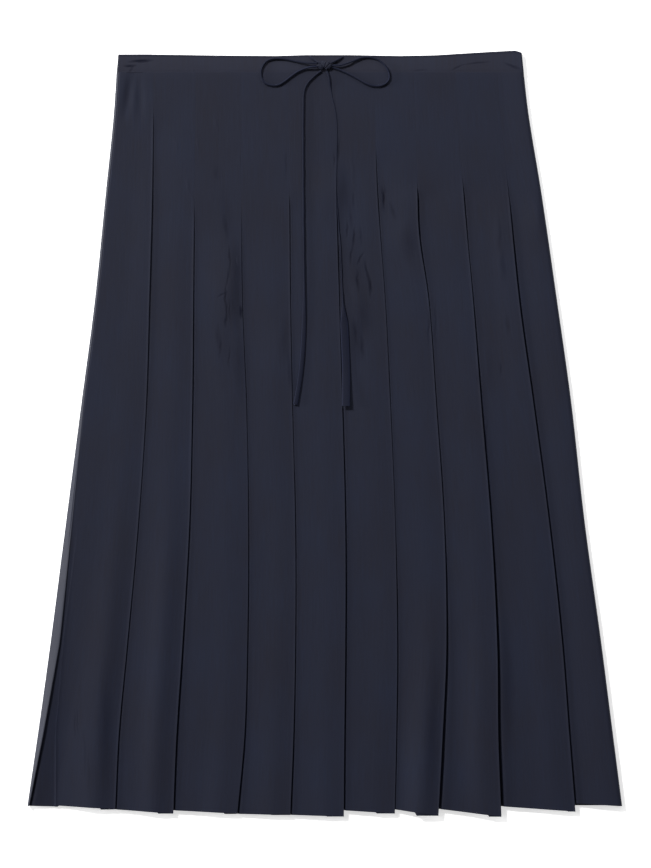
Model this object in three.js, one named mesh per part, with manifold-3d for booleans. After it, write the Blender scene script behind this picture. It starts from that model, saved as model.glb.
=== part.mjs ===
// A pleated midi skirt with a drawstring waist, laid flat on its back with the front uppermost.
// Millimetres. X runs across the skirt, Y from the hem up to the waist, Z up from the table.
// Every cloth piece is a wall of one thickness, lofted through sections across the skirt.
import * as THREE from "three";
import { LoftGeometry } from "three/addons/geometries/LoftGeometry.js";
import { mergeVertices } from "three/addons/utils/BufferGeometryUtils.js";
import Module from "manifold-3d";

// Cloth
const WALL = 1.0;
const GAP = 0.3; // clear space at a seam and between two plies
const PLY = WALL + GAP;
const TURN = PLY / 2; // how far a fold's round nose reaches past the end of its plies

// Heights of the plies' middles: the back lies on the table, the front lies on the back
const BACK = { face: WALL / 2, turn: WALL / 2 + PLY, inner: WALL / 2 + 2 * PLY };
const FRONT = { inner: BACK.inner + PLY, turn: BACK.inner + 2 * PLY, face: BACK.inner + 3 * PLY };
const SIDE_SEAM_Z = (BACK.inner + FRONT.inner) / 2;
const FRONT_TOP = FRONT.face + WALL / 2;

// Named levels, as lengths measured down from the middle of the waist edge
const WAIST_Y = 378.5;
const CASING_DEPTH = 17;
const DROP = {
  waist: 0, seam: CASING_DEPTH, yoke: 56, hip: 136, seat: 246,
  thigh: 346, knee: 466, calf: 586, shin: 676, hem: 750,
};
const LEVELS = Object.keys(DROP).slice(1);

// A pleat hides what it doesn't show of its share of cloth, half in its return and half in its underlay
const PLEAT_CLOTH = 90;
const LEAST_UNDERLAY = 8;
const DEEPEST_SHARE = 0.6; // of the panel that hides it
const RUN_IN = 2.5; // flat cloth between the top of a panel's slope and the next underlay
const OPENING_RUN = 45; // length over which a pleat opens below the end of its stitching
const STEP_FLAT = 0.9; // flat cloth past a fold, before the next panel rises
const STEP_RISE = 0.9; // run of the next panel's rise where the pleat is stitched shut

function table(columns, rows) {
  return rows.map((row) => Object.fromEntries(columns.map((name, i) => [name, row[i]])));
}

// The skirt's outline: X of each side edge
const [LEFT_SIDE, RIGHT_SIDE] = table(LEVELS, [
  [-208.5, -211, -219, -230, -243, -259, -274.5, -287, -297],
  [198.5, 203, 216, 232, 246, 259.5, 276, 287.5, 297],
]);

// The front's knife pleats: the drop at which each is let go, X of its folded edge, and the drop of its
// lower corner
const FOLDS = table(["release", ...LEVELS, "hem_end"], [
  [52, -172, -172, -173, -176, -179, -187, -198, -206.5, -210, 754],
  [140, -130, -130, -131, -132, -133, -136, -143, -149, -152, 758.5],
  [150, -84, -84, -84, -83, -79, -77, -78, -81, -88, 758.5],
  [136, -37, -37, -36, -35, -33, -30, -30, -32, -35, 760],
  [80, 9, 10.5, 11, 14, 16.5, 20, 20, 19, 18.5, 761.5],
  [90, 48, 49.5, 52, 60, 65, 70, 72, 71, 69.5, 758.5],
  [130, 88, 90, 93, 104, 111, 119, 121, 117, 113, 760.5],
  [122, 130, 133, 138, 148, 156, 166, 172, 173, 176, 761.5],
  [110, 172, 175, 183, 194, 208, 224, 237, 244, 250, 756.5],
]);
const PANEL_HEM_START = [751, 754.5, 755.5, 759, 760, 755.5, 754.5, 754, 751.5, 748.5];
const RIGHT_HEM_END = 751;

// The side pleat at the left: how far in from the edge the back laps over, and the front is creased,
// how high the front's edge lies between its lowest ply (0) and its face (1), and its step at the crease
const [LAP, CREASE, EDGE_HEIGHT, CREASE_STEP] = table(LEVELS, [
  [2.5, 2.5, 2.5, 2.5, 2.5, 6.5, 9.5, 7.5, 2.5],
  [9, 9, 9, 9, 9, 12, 12, 17, 26],
  [1, 1, 1, 0.5, 0, 0, 0, 0, 0],
  [0, 0, 0, 0, 0, 0, 0.2, 1, 1],
]);
const CREASE_RUN = 1.5;
const EDGE_ROUND = 2.4; // width of the bend at a side edge
const EDGE_BEVEL = 1.2; // height of that bend where an edge stands through all the plies

// The back's pleats, seen only from below and at the hem
const BACK_PLEATS = 9;
const BACK_SLOPE = 5;
const BACK_RELEASE = 138;
const BACK_HEM = 751;
const BACK_SWAY = 3; // how far a back fold strays from an even spacing
const BACK_SWAY_TURN = 2.3; // radians of that wave from one fold to the next

// Drawstring: a flat tube of the skirt's cloth, tied in a bow
const TAPE = { width: 7, thick: 1.6 };
const KNOT = { x: -0.8, y: 367.5, width: 14, height: 9, thick: 8.5 };
const KNOT_ROOM = 0.7;
const BUTTONHOLE = { y: 373.2, long: 8, wide: 3, left: -15.7, right: 17.9 };

// The waist edge rises this far at each place across
const WAIST_EDGE = table(["x", "rise"], [
  [-207, 0.6], [-180, 0.7], [-110, -0.4], [-50, -0.9], [-20, 0], [25, 0],
  [75, -0.9], [110, -0.2], [140, 1.7], [165, 3.2], [190, 4.5], [196.5, 2.5],
]);
const CASING_BEND = 1.3; // depth of the bend at the casing's folded edge
const CASING_BEVEL = 0.4;

// The drawstring's routes. Lean is how far the tape is turned up from flat, in degrees, and lift is how far
// it is held off the front where it crosses a lead
const route = (points) => table(["x", "y", "lean", "lift"], points);
const ROUTES = {
  lead_left: route([[-15.7, 375.4, 0, 0], [-12.4, 373.9, 0, 0], [-8.6, 371.6, 0, 0]]),
  lead_right: route([[17.9, 375.6, 0, 0], [13.2, 373.6, 0, 0], [7.2, 371.4, 0, 0]]),
  loop_left: route([
    [-8.6, 369.9, 78, 2.2], [-17, 370.4, 72, 2.2], [-26, 371.5, 68, 0.5], [-35, 373.3, 66, 0],
    [-44, 374.9, 68, 0], [-52, 374.8, 70, 0], [-58.7, 372.2, 70, 0], [-62.6, 367.2, 66, 0],
    [-64.3, 361, 58, 0], [-63.6, 355, 48, 0], [-60.2, 350.5, 40, 0], [-54.3, 348.2, 36, 0],
    [-47.3, 348.2, 40, 0], [-41.3, 351.5, 50, 0], [-34.3, 356.8, 58, 0], [-27.3, 361.6, 66, 0],
    [-20, 364.8, 74, 0.5], [-14, 366.2, 78, 2.2], [-8.6, 366.4, 78, 2.2],
  ]),
  loop_right: route([
    [7.1, 365.8, 78, 0], [13, 364, 74, 0], [20, 361, 68, 0], [27, 357.5, 66, 0],
    [34, 353.5, 68, 0], [41, 349.7, 68, 0], [48, 347.5, 64, 0], [55, 347.5, 60, 0],
    [60.7, 350, 58, 0], [64, 354.5, 60, 0], [63.8, 360.5, 62, 0], [61.2, 366, 64, 0],
    [56.7, 371, 64, 0], [50.7, 374.7, 64, 0], [43.7, 376.2, 64, 0], [36.2, 375.6, 66, 0],
    [29.5, 373, 68, 0.5], [22.5, 370.9, 72, 2.2], [15.5, 369.9, 78, 2.2], [7.1, 369.8, 78, 2.2],
  ]),
  end_left: route([
    [-4, 362.4, 20, 0], [-8, 359.8, 40, 0], [-12.8, 355.5, 60, 0], [-17.3, 350.7, 60, 0],
    [-20.3, 345, 58, 0], [-21.7, 337.5, 55, 0], [-22, 323.5, 52, 0], [-22.1, 283.5, 52, 0],
    [-21.9, 243.5, 50, 0], [-21.7, 208.5, 40, 0], [-21.3, 173.5, 48, 0], [-21.1, 133.5, 50, 0],
    [-21.5, 103.5, 46, 0], [-23.3, 73.5, 40, 0], [-26.3, 48.5, 30, 0], [-29.8, 29, 20, 0],
  ]),
  end_right: route([
    [1.6, 362.2, 30, 0], [3.2, 357.5, 55, 0], [5, 347.5, 70, 0], [7, 336.5, 72, 0],
    [9.9, 323.5, 68, 0], [11.5, 311.5, 60, 0], [11.4, 283.5, 54, 0], [11.4, 243.5, 48, 0],
    [13.2, 211.5, 42, 0], [15.5, 183.5, 36, 0], [17, 143.5, 28, 0], [19.2, 103.5, 14, 0],
    [20.7, 63.5, 4, 0], [20.8, 27.5, 0, 0],
  ]),
};

// The tape's section, in half widths and half thicknesses
const TAPE_SECTION = table(["flat", "up"], [
  [1, 0.4], [0.85, 1], [-0.85, 1], [-1, 0.4], [-1, -0.4], [-0.85, -1], [0.85, -1], [1, -0.4],
]);

// Value of a table row at a drop below the waist, straight between its named levels
function at(row, drop) {
  let i = 1;
  while (i < LEVELS.length - 1 && DROP[LEVELS[i]] < drop) i += 1;
  const from = DROP[LEVELS[i - 1]];
  const to = DROP[LEVELS[i]];
  const share = THREE.MathUtils.clamp((drop - from) / (to - from), 0, 1);
  return THREE.MathUtils.lerp(row[LEVELS[i - 1]], row[LEVELS[i]], share);
}

// How deep a pleat lies under a panel that shows this much of its face
function underlay(shown) {
  return Math.min(DEEPEST_SHARE * shown, Math.max(LEAST_UNDERLAY, (PLEAT_CLOTH - shown) / 2));
}

// The eight path points of one knife pleat whose folded edge points to +X: over the nose, back under
// to the inner fold, forward again, and up the slope of the next panel
function pleat(fold, depth, slope, level, length) {
  const over = (level.face + level.turn) / 2;
  const under = (level.turn + level.inner) / 2;
  return [
    { x: fold - TURN, z: level.face, hem: length.over },
    { x: fold, z: over, hem: length.over },
    { x: fold - TURN, z: level.turn, hem: length.over },
    { x: fold - depth + TURN, z: level.turn, hem: length.over },
    { x: fold - depth, z: under, hem: length.under },
    { x: fold - depth + TURN, z: level.inner, hem: length.under },
    { x: fold + STEP_FLAT, z: level.inner, hem: length.under },
    { x: fold + STEP_FLAT + STEP_RISE + slope, z: level.face, hem: length.under },
  ];
}

// Turns a path of wall middles into the closed outline of the wall, mitred at the corners
function wallAround(path) {
  const sides = [[], []];
  path.forEach((point, i) => {
    const back = path[Math.max(i - 1, 0)];
    const next = path[Math.min(i + 1, path.length - 1)];
    const before = new THREE.Vector2(point.x - back.x, point.z - back.z);
    const after = new THREE.Vector2(next.x - point.x, next.z - point.z);
    if (i === 0) before.copy(after);
    if (i === path.length - 1) after.copy(before);
    before.normalize();
    after.normalize();
    const normal = new THREE.Vector2(-before.y - after.y, before.x + after.x).normalize();
    const reach = WALL / 2 / Math.max(0.5, normal.dot(new THREE.Vector2(-after.y, after.x)));
    [1, -1].forEach((sign, side) => {
      const moved = { x: point.x + sign * reach * normal.x, z: point.z + sign * reach * normal.y };
      sides[side].push({ ...point, ...moved });
    });
  });
  return [...sides[0], ...sides[1].reverse()];
}

// Height of a path point: below the hip each column is stretched to its own hem
function yOf(point, drop) {
  const below = Math.max(0, drop - DROP.hip) / (DROP.hem - DROP.hip);
  return WAIST_Y - drop - below * (point.hem - DROP.hem);
}

function clothLoft(drops, pathAt) {
  const sections = drops.map((drop) =>
    wallAround(pathAt(drop)).map((point) => new THREE.Vector3(point.x, yOf(point, drop), point.z)),
  );
  return new LoftGeometry(sections.reverse(), { capStart: true, capEnd: true });
}

// How far a pleat has opened at a drop: 0 where it is stitched shut, 1 where it hangs free
function opened(release, drop) {
  return THREE.MathUtils.smoothstep(drop, release, release + OPENING_RUN);
}

function frontPath(drop) {
  const left = at(LEFT_SIDE, drop);
  const right = at(RIGHT_SIDE, drop);
  const folds = FOLDS.map((row) => at(row, drop));
  const crease = left + at(CREASE, drop);
  const edgeZ = THREE.MathUtils.lerp(FRONT.inner, FRONT.face, at(EDGE_HEIGHT, drop));
  const depths = folds.map((fold, i) => underlay(fold - (i ? folds[i - 1] : crease)));
  const start = PANEL_HEM_START[0];
  const path = [
    { x: left + LAP.seam + GAP, z: edgeZ, hem: start },
    { x: crease, z: edgeZ, hem: start },
    { x: crease + CREASE_RUN, z: edgeZ + at(CREASE_STEP, drop), hem: start },
    { x: folds[0] - depths[0] - RUN_IN, z: FRONT.face, hem: FOLDS[0].hem_end },
  ];
  FOLDS.forEach((row, i) => {
    const last = i === FOLDS.length - 1;
    const run = last ? (right - folds[i]) / 2 : folds[i + 1] - folds[i] - depths[i + 1] - RUN_IN;
    const slope = run * opened(row.release, drop);
    const hems = { over: row.hem_end, under: PANEL_HEM_START[i + 1] };
    path.push(...pleat(folds[i], depths[i], slope, FRONT, hems));
  });
  path.push(
    { x: right - EDGE_ROUND, z: FRONT.face, hem: RIGHT_HEM_END },
    { x: right - WALL / 2, z: FRONT.turn, hem: RIGHT_HEM_END },
    { x: right - WALL / 2, z: SIDE_SEAM_Z + GAP / 2, hem: RIGHT_HEM_END },
  );
  return path;
}

// The back is pleated the same way seen from behind, so its folds are laid out from the right, in a frame
// turned over about Y, and turned back
function backPath(drop) {
  const left = at(LEFT_SIDE, drop);
  const right = at(RIGHT_SIDE, drop);
  const turnedOver = { face: BACK.inner, turn: BACK.turn, inner: BACK.face };
  const pitch = (right - left) / (BACK_PLEATS + 1);
  const depth = underlay(pitch);
  const free = opened(BACK_RELEASE, drop);
  const path = [
    { x: -right + WALL / 2, z: BACK.turn - TURN, hem: BACK_HEM },
    { x: -right + EDGE_ROUND, z: BACK.inner, hem: BACK_HEM },
  ];
  for (let i = 1; i <= BACK_PLEATS; i += 1) {
    const sway = BACK_SWAY * Math.sin(BACK_SWAY_TURN * i) * free;
    const hems = { over: BACK_HEM, under: BACK_HEM - 2 };
    path.push(...pleat(-right + i * pitch + sway, depth, BACK_SLOPE * free, turnedOver, hems));
  }
  const turned = path.map((point) => ({ ...point, x: -point.x, z: BACK.face + BACK.inner - point.z }));
  turned.unshift({ x: right - WALL / 2, z: SIDE_SEAM_Z - GAP / 2, hem: RIGHT_HEM_END });
  turned.push(
    { x: left + EDGE_ROUND, z: BACK.face, hem: BACK_HEM },
    { x: left + WALL / 2, z: BACK.face + EDGE_BEVEL, hem: BACK_HEM },
    { x: left + WALL / 2, z: FRONT.face - EDGE_BEVEL, hem: BACK_HEM },
    { x: left + EDGE_BEVEL + WALL / 2, z: FRONT.face, hem: BACK_HEM },
    { x: left + at(LAP, drop), z: FRONT.face, hem: BACK_HEM },
  );
  return turned.reverse();
}

// The drops at which a panel's sections stand: the named levels, with more where its pleats open
function sectionDrops(extra) {
  const drops = [...LEVELS.map((name) => DROP[name]), ...extra].sort((a, b) => a - b);
  drops[0] += GAP;
  return drops;
}

// The waist casing: a strip folded in half along the waist edge, open at the seam below
function casing(bottom, top) {
  const middle = (bottom + top) / 2;
  const seam = WAIST_Y - CASING_DEPTH;
  const ends = { 0: LEFT_SIDE.seam, [WAIST_EDGE.length - 1]: RIGHT_SIDE.seam };
  const sections = WAIST_EDGE.map(({ x, rise }, i) => {
    const edge = WAIST_Y + rise;
    const bend = edge - CASING_BEND;
    const inside = bend - GAP;
    const ring = [
      [seam, top - WALL], [inside, top - WALL], [edge - WALL, middle], [inside, bottom + WALL],
      [seam, bottom + WALL], [seam, bottom], [bend, bottom], [edge - CASING_BEVEL, bottom + CASING_BEVEL],
      [edge, middle], [edge - CASING_BEVEL, top - CASING_BEVEL], [bend, top], [seam, top],
    ];
    return ring.map(([y, z]) => new THREE.Vector3(y === seam ? ends[i] ?? x : x, y, z));
  });
  return new LoftGeometry(sections, { capStart: true, capEnd: true });
}

// A buttonhole's cutter: a slot with round ends, standing along Y
function slot(x) {
  const half = BUTTONHOLE.wide / 2;
  const straight = (BUTTONHOLE.long - BUTTONHOLE.wide) / 2;
  const shape = new THREE.Shape();
  shape.absarc(0, straight, half, 0, Math.PI);
  shape.absarc(0, -straight, half, Math.PI, 2 * Math.PI);
  const depth = 3 * WALL;
  const geometry = new THREE.ExtrudeGeometry(shape, { depth, bevelEnabled: false, curveSegments: 5 });
  return geometry.translate(x, BUTTONHOLE.y, FRONT.face - depth / 2);
}

// Joining and cutting
const wasm = await Module();
wasm.setup();

function solid(geometry) {
  const bare = new THREE.BufferGeometry().setAttribute("position", geometry.getAttribute("position"));
  const merged = mergeVertices(bare.setIndex(geometry.getIndex()), 1e-4);
  return new wasm.Manifold(
    new wasm.Mesh({
      numProp: 3,
      vertProperties: merged.attributes.position.array,
      triVerts: new Uint32Array(merged.index.array),
    }),
  );
}

function geometryOf(manifold) {
  const mesh = manifold.getMesh();
  const geometry = new THREE.BufferGeometry();
  geometry.setAttribute("position", new THREE.BufferAttribute(mesh.vertProperties, 3));
  geometry.setIndex(new THREE.BufferAttribute(mesh.triVerts, 1));
  return geometry;
}

// A flat tape along a route: an eight-sided section carried along a smooth curve, clear of the front
function tape(points) {
  const halfWidth = TAPE.width / 2;
  const halfThick = TAPE.thick / 2;
  const centres = points.map(({ x, y, lean, lift }) => {
    const turned = THREE.MathUtils.degToRad(lean);
    const rise = halfWidth * Math.sin(turned) + halfThick * Math.cos(turned);
    return new THREE.Vector3(x, y, FRONT_TOP + GAP + lift + rise);
  });
  const curve = new THREE.CatmullRomCurve3(centres, false, "centripetal");
  const steps = (points.length - 1) * 2;
  const sections = [];
  for (let i = 0; i <= steps; i += 1) {
    const from = points[Math.floor(i / 2)].lean;
    const to = points[Math.ceil(i / 2)].lean;
    const lean = THREE.MathUtils.degToRad((from + to) / 2);
    const centre = curve.getPoint(i / steps);
    const along = curve.getTangent(i / steps).setZ(0).normalize();
    const across = new THREE.Vector3(-along.y, along.x, 0);
    const flat = across.clone().multiplyScalar(Math.cos(lean)).setZ(Math.sin(lean));
    const up = across.clone().multiplyScalar(-Math.sin(lean)).setZ(Math.cos(lean));
    sections.push(
      TAPE_SECTION.map((corner) =>
        centre
          .clone()
          .addScaledVector(flat, corner.flat * halfWidth)
          .addScaledVector(up, corner.up * halfThick),
      ),
    );
  }
  return new LoftGeometry(sections, { capStart: true, capEnd: true });
}

// The knot: a rounded lump that the loops, ends and leads run into
function knot(room = 0) {
  const geometry = new THREE.SphereGeometry(1, 16, 10);
  geometry.scale(KNOT.width / 2 + room, KNOT.height / 2 + room, KNOT.thick / 2);
  return geometry.translate(KNOT.x, KNOT.y, FRONT_TOP + GAP + KNOT.thick / 2);
}

const FINISHES = {
  cloth: { color: 0x2b2d39, roughness: 0.55, metalness: 0 },
  casing: { color: 0x2d2f3b, roughness: 0.55, metalness: 0 },
  string: { color: 0x262835, roughness: 0.5, metalness: 0 },
};

const skirt = new THREE.Group();

function place(name, geometry, finish) {
  const mesh = new THREE.Mesh(geometry, new THREE.MeshStandardMaterial(FINISHES[finish]));
  mesh.name = name;
  skirt.add(mesh);
}

const buttonholes = [BUTTONHOLE.left, BUTTONHOLE.right].map((x) => solid(slot(x)));
const frontCasing = buttonholes.reduce(
  (rest, hole) => rest.subtract(hole),
  solid(casing(FRONT.inner - WALL / 2, FRONT_TOP)),
);

// Room round the knot, so that each strand stops short of it
const knotRoom = solid(knot(KNOT_ROOM));

place("skirt_back", clothLoft(sectionDrops([180]), backPath), "cloth");
place("skirt_front", clothLoft(sectionDrops([100, 165, 195]), frontPath), "cloth");
place("casing_back", casing(0, BACK.inner + WALL / 2), "casing");
place("casing_front", geometryOf(frontCasing), "casing");
place("string_knot", knot(), "string");
for (const [name, points] of Object.entries(ROUTES)) {
  place("string_" + name, geometryOf(solid(tape(points)).subtract(knotRoom)), "string");
}

export default skirt;
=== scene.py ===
import math

import bpy
import numpy as np
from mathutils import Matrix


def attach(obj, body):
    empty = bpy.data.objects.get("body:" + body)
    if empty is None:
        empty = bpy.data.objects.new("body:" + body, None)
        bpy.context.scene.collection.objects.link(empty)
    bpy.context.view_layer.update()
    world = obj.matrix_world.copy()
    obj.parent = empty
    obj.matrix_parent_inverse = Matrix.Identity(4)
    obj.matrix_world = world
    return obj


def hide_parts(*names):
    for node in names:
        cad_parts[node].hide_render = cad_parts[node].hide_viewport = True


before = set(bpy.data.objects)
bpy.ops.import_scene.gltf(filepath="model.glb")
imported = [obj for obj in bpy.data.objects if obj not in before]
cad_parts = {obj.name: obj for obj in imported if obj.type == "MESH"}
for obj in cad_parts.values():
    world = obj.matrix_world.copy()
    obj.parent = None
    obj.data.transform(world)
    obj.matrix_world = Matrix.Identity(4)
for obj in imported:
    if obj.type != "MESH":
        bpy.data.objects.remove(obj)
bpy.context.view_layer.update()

MM = 0.001

# The picture's frame: its size, and where the skirt's origin is in it, at one pixel to the millimetre
PICTURE_WIDE = 651
PICTURE_HIGH = 868
ORIGIN_ACROSS = 325.25
ORIGIN_DOWN = 433.5
CAMERA_HEIGHT = 3200
SENSOR_HIGH = 24

# Named levels, as drops, and the height of the waist edge's middle
WAIST_Y = 378.5
CASING_DEPTH = 17
LEVELS = np.array([CASING_DEPTH, 56, 136, 246, 346, 466, 586, 676, 750.0])
HIP = 136
HEM = 750

# The cloth's thickness, the pitch of plies that lie on each other, and the heights of their middles
CLOTH = 0.28
PLY = 0.32
BACK_FACE = 0.25
BACK_TURN = 0.65
BACK_INNER = 1.05
TOP_PLY = 6.5
LOW_PLY = TOP_PLY - 2 * PLY - 0.06
SIDE_SEAM = 3.6

# The skirt's outline, a value for each level
LEFT_SIDE = [-208.7, -211.2, -219.3, -230.5, -243.6, -259.4, -274.8, -287.2, -297.8]
RIGHT_SIDE = [198.5, 203, 216, 232, 246, 259.5, 276, 287.5, 297]

# How a pleat is cut: the cloth from one folded edge to the next, the least depth of its underlay, and the
# largest share of the panel over it that the underlay may reach across
PLEAT_CLOTH = 90
LEAST_UNDERLAY = 8
DEEPEST_SHARE = 0.6

# The front's knife pleats. release: drop where the stitching ends. opens: how far below it the pleat is
# open. x: the folded edge at each level. hem_end: drop of the panel's lower corner. bow: drop, half
# length and depth of a bend in the edge. lip: the edge's own curl, as a share of LIP. The rest are values
# at the drops in TUCK_LEVELS. groove: depth of the valley beside the edge, 0 to 3. gap: the valley's
# width. lift: how far the edge stands up. roll: height of the soft ridge that the panel makes before it
# rolls down to its edge.
TUCK_LEVELS = [70, 110, 150, 200, 260, 330, 400, 470, 540, 620, 700, 750]
FOLDS = [
    dict(release=52, opens=26, x=[-172, -172, -173, -176, -179, -187, -198, -206.5, -210], hem_end=754,
         groove=[0.1, 0.2, 0.4, 0.3, 0.3, 0.6, 0.3, 0.5, 0.9, 1.3, 1.7, 1.5],
         gap=[1, 1.4, 4, 5, 4.5, 1.6, 1.2, 1.2, 1.3, 1.6, 1.8, 1.8],
         lift=[0, 0.2, 0.7, 0.9, 0.7, 0.2, 0, 0, 0, 0.1, 0.3, 0.4],
         roll=[0, 0, 0, 0, 0, 0.2, 0.4, 0.7, 1.5, 2.1, 2.3, 2.1]),
    dict(release=140, opens=40, x=[-130, -130, -131, -132, -133, -136, -143, -149, -152], hem_end=758.5,
         groove=[0, 0, 0.5, 0.9, 1.3, 1.6, 1.3, 1.8, 1.8, 2.4, 2.4, 2.4],
         gap=[1, 1, 1.2, 1.3, 1.6, 1.7, 1.7, 1.8, 1.9, 2.6, 2.6, 2.4],
         lift=[0, 0, 0, 0.1, 0.2, 0.2, 0.1, 0.2, 0.3, 0.7, 0.7, 0.6],
         roll=[0, 0, 0, 0.2, 0.3, 0.4, 0.6, 1.1, 1.9, 2.3, 2.3, 2.0]),
    dict(release=145, opens=60, x=[-84, -84, -84, -83, -79, -77, -78, -81, -88], hem_end=758.5, lip=0.25,
         groove=[0, 0, 0.1, 0.2, 0.3, 0.5, 0.4, 0.9, 1.2, 1.5, 1.9, 2.2],
         gap=[1, 1, 1, 1, 1.1, 1.2, 1.2, 1.4, 1.6, 1.8, 2.4, 3.2],
         lift=[0, 0, 0, 0, 0, 0, 0.1, 0.1, 0.2, 0.3, 0.7, 1.0],
         roll=[0, 0, 0, 0.1, 0.2, 0.2, 0.2, 0.3, 0.3, 0.4, 0.7, 1.0]),
    dict(release=136, opens=22, x=[-37, -37, -36, -35, -33, -30, -30, -32, -35], hem_end=760, lip=0.6,
         groove=[0, 0, 0.9, 0.7, 0.5, 0.5, 0.5, 1.2, 0.8, 0.9, 1.5, 1.6],
         gap=[1, 1, 1.2, 1.2, 1.2, 1.2, 1.2, 1.4, 1.4, 1.6, 2.4, 2.6],
         lift=[0, 0, 0.2, 0, 0, 0, 0, 0.1, 0.1, 0.2, 0.6, 0.7],
         roll=[0, 0, 0, 0, 0.1, 0.2, 0.2, 0.2, 0.3, 0.5, 0.8, 1.0]),
    dict(release=80, opens=70, x=[9, 10.5, 11, 14, 17, 20, 20, 19, 18.5], hem_end=761.5, lip=0.5,
         groove=[0.2, 0.3, 0.9, 1.4, 0.8, 1.5, 1.8, 1.9, 2.4, 2.3, 2.4, 2.2],
         gap=[1, 1.1, 1.3, 1.5, 1.2, 1.5, 1.7, 1.8, 2.2, 2.2, 2.5, 2.4],
         lift=[0, 0, 0.2, 0.3, 0, 0.1, 0.3, 0.4, 0.6, 0.5, 0.6, 0.7],
         roll=[0, 0, 0, 0, 0, 0.1, 0.2, 0.2, 0.2, 0.3, 0.5, 0.8]),
    dict(release=90, opens=24, x=[48, 49.5, 52, 60, 65, 70, 72, 71, 69.5], hem_end=758.5, lip=0.5,
         groove=[0, 0.5, 0.9, 0.1, 0.2, 0.6, 0.1, 0.1, 1.4, 1.7, 1.0, 0.7],
         gap=[1, 1, 1.3, 1, 1, 1.2, 1, 1, 1.4, 1.6, 1.4, 1.4],
         lift=[0, 0, 0.2, 0, 0, 0, 0, 0, 0.3, 0.4, 0.3, 0.2],
         roll=[0, 0, 0, 0, 0, 0.1, 0.1, 0.1, 0.1, 0.2, 0.3, 0.3]),
    dict(release=130, opens=12, x=[88, 90, 93, 104, 111, 119, 121, 117, 113], hem_end=760.5,
         bow=(182, 42, -3.2),
         groove=[0, 0, 2.4, 1.3, 0.4, 0.9, 1.4, 1.4, 2.2, 2.8, 3.0, 2.8],
         gap=[1, 1, 2.2, 1.6, 1, 1.2, 1.4, 1.5, 2.4, 3.6, 4.4, 4.2],
         lift=[0, 0, 1.0, 0.6, 0, 0, 0.1, 0.1, 0.5, 1.6, 2.2, 1.8],
         roll=[0, 0, 0.4, 0.2, 0, 0, 0.1, 0.2, 0.4, 1.6, 3.0, 2.8]),
    dict(release=122, opens=16, x=[130, 133, 138, 148, 156, 166, 172, 173, 176], hem_end=761.5,
         groove=[0, 0, 1.5, 0.3, 1.2, 1.7, 2.0, 1.8, 2.4, 2.8, 3.0, 2.8],
         gap=[1, 1, 1.6, 1, 1.5, 2.0, 2.2, 2.4, 3.0, 3.8, 4.2, 4.4],
         lift=[0, 0, 0.5, 0, 0.3, 0.5, 0.8, 0.8, 1.2, 2.0, 2.4, 2.2],
         roll=[0, 0, 0, 0, 0, 0.1, 0.2, 0.4, 1.0, 1.8, 1.6, 0.8]),
    dict(release=110, opens=60, x=[172, 175, 183, 194, 208, 224, 237, 244, 250], hem_end=756.5,
         groove=[0, 0.2, 1.0, 1.6, 1.6, 1.6, 1.5, 1.5, 2.0, 1.7, 1.6, 1.6],
         gap=[1, 1, 1.6, 2.2, 2.4, 2.2, 2.0, 2.0, 2.0, 2.0, 2.2, 2.4],
         lift=[0, 0.1, 0.7, 1.2, 1.3, 1.1, 0.9, 0.8, 0.7, 0.7, 0.9, 1.0],
         roll=[0, 0, 0, 0, 0, 0, 0, 0.1, 0.2, 0.4, 0.6, 0.4]),
]
PANEL_HEM_START = [751, 754.5, 755.5, 759, 760, 755.5, 754.5, 754, 751.5, 748.5]
RIGHT_HEM_END = 751

# How high a folded edge of the front curls up, how far in from it the curl reaches, and the radius with
# which the last panel turns down at the side
LIP = 0.32
LIP_WIDE = 1.1
SIDE_NOSE = 2.2

# The front's panels: the share of its width over which a panel rises out of the valley, how far in from
# its edge the ridge lies, as a share and at most, how wide it is for that, and the share that lifts
RISE_SHARE = 0.75
RIDGE_SHARE = 0.45
RIDGE_REACH = 21
RIDGE_WIDE = 0.62
LIFT_SHARE = 0.6

# The groove in the front along the casing's seam
SEAM_GROOVE = 0.12
SEAM_WIDE = 1.3

# The side pleat at the left, a value for each level: how far in from the edge the back laps over, how far
# it stands up there, how far in the front is creased, the height of the front's margin, and how sharp the
# crease is
LAP = [2.5, 2.5, 2.5, 2.5, 2.8, 6.8, 9.6, 5.9, 1.8]
ROOF = [0, 0, 0, 0, 0, 0.35, 1, 1, 0.8]
CREASE = [9, 9, 9, 9, 9, 12, 12, 16.5, 27]
MARGIN_Z = [6.5, 6.5, 6.5, 6.5, 6.5, 6.6, 5.4, 4.4, 4.8]
CREASE_STEP = [0, 0, 0, 0, 0, 0, 0.4, 1, 1]
MARGIN_FALL = 0.085  # how steeply the margin falls away from the light
MARGIN_REACH = 34  # how far in from the crease the panel comes up to its full height

# The back's even pleats: their number, where the stitching ends, how far below it they are open, how far
# they sway, by a sine that goes on this many radians from pleat to pleat, and the drop of the back's hem
BACK_PLEATS = 9
BACK_RELEASE = 138
BACK_OPENS = 45
BACK_SWAY = 3
SWAY_STEP = 2.3
BACK_HEM = 751

# The waist edge: its two ends, the two ends of its seam, and how far it rises above the middle at each x
WAIST_ENDS = (-207, 196.5)
SEAM_ENDS = (-208.5, 198.5)
WAIST_X = [-207, -180, -110, -50, -20, 25, 75, 110, 140, 165, 190, 196.5]
WAIST_RISE = [0.6, 0.7, -0.4, -0.9, 0, 0, -0.9, -0.2, 1.7, 3.2, 4.5, 2.5]

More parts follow.
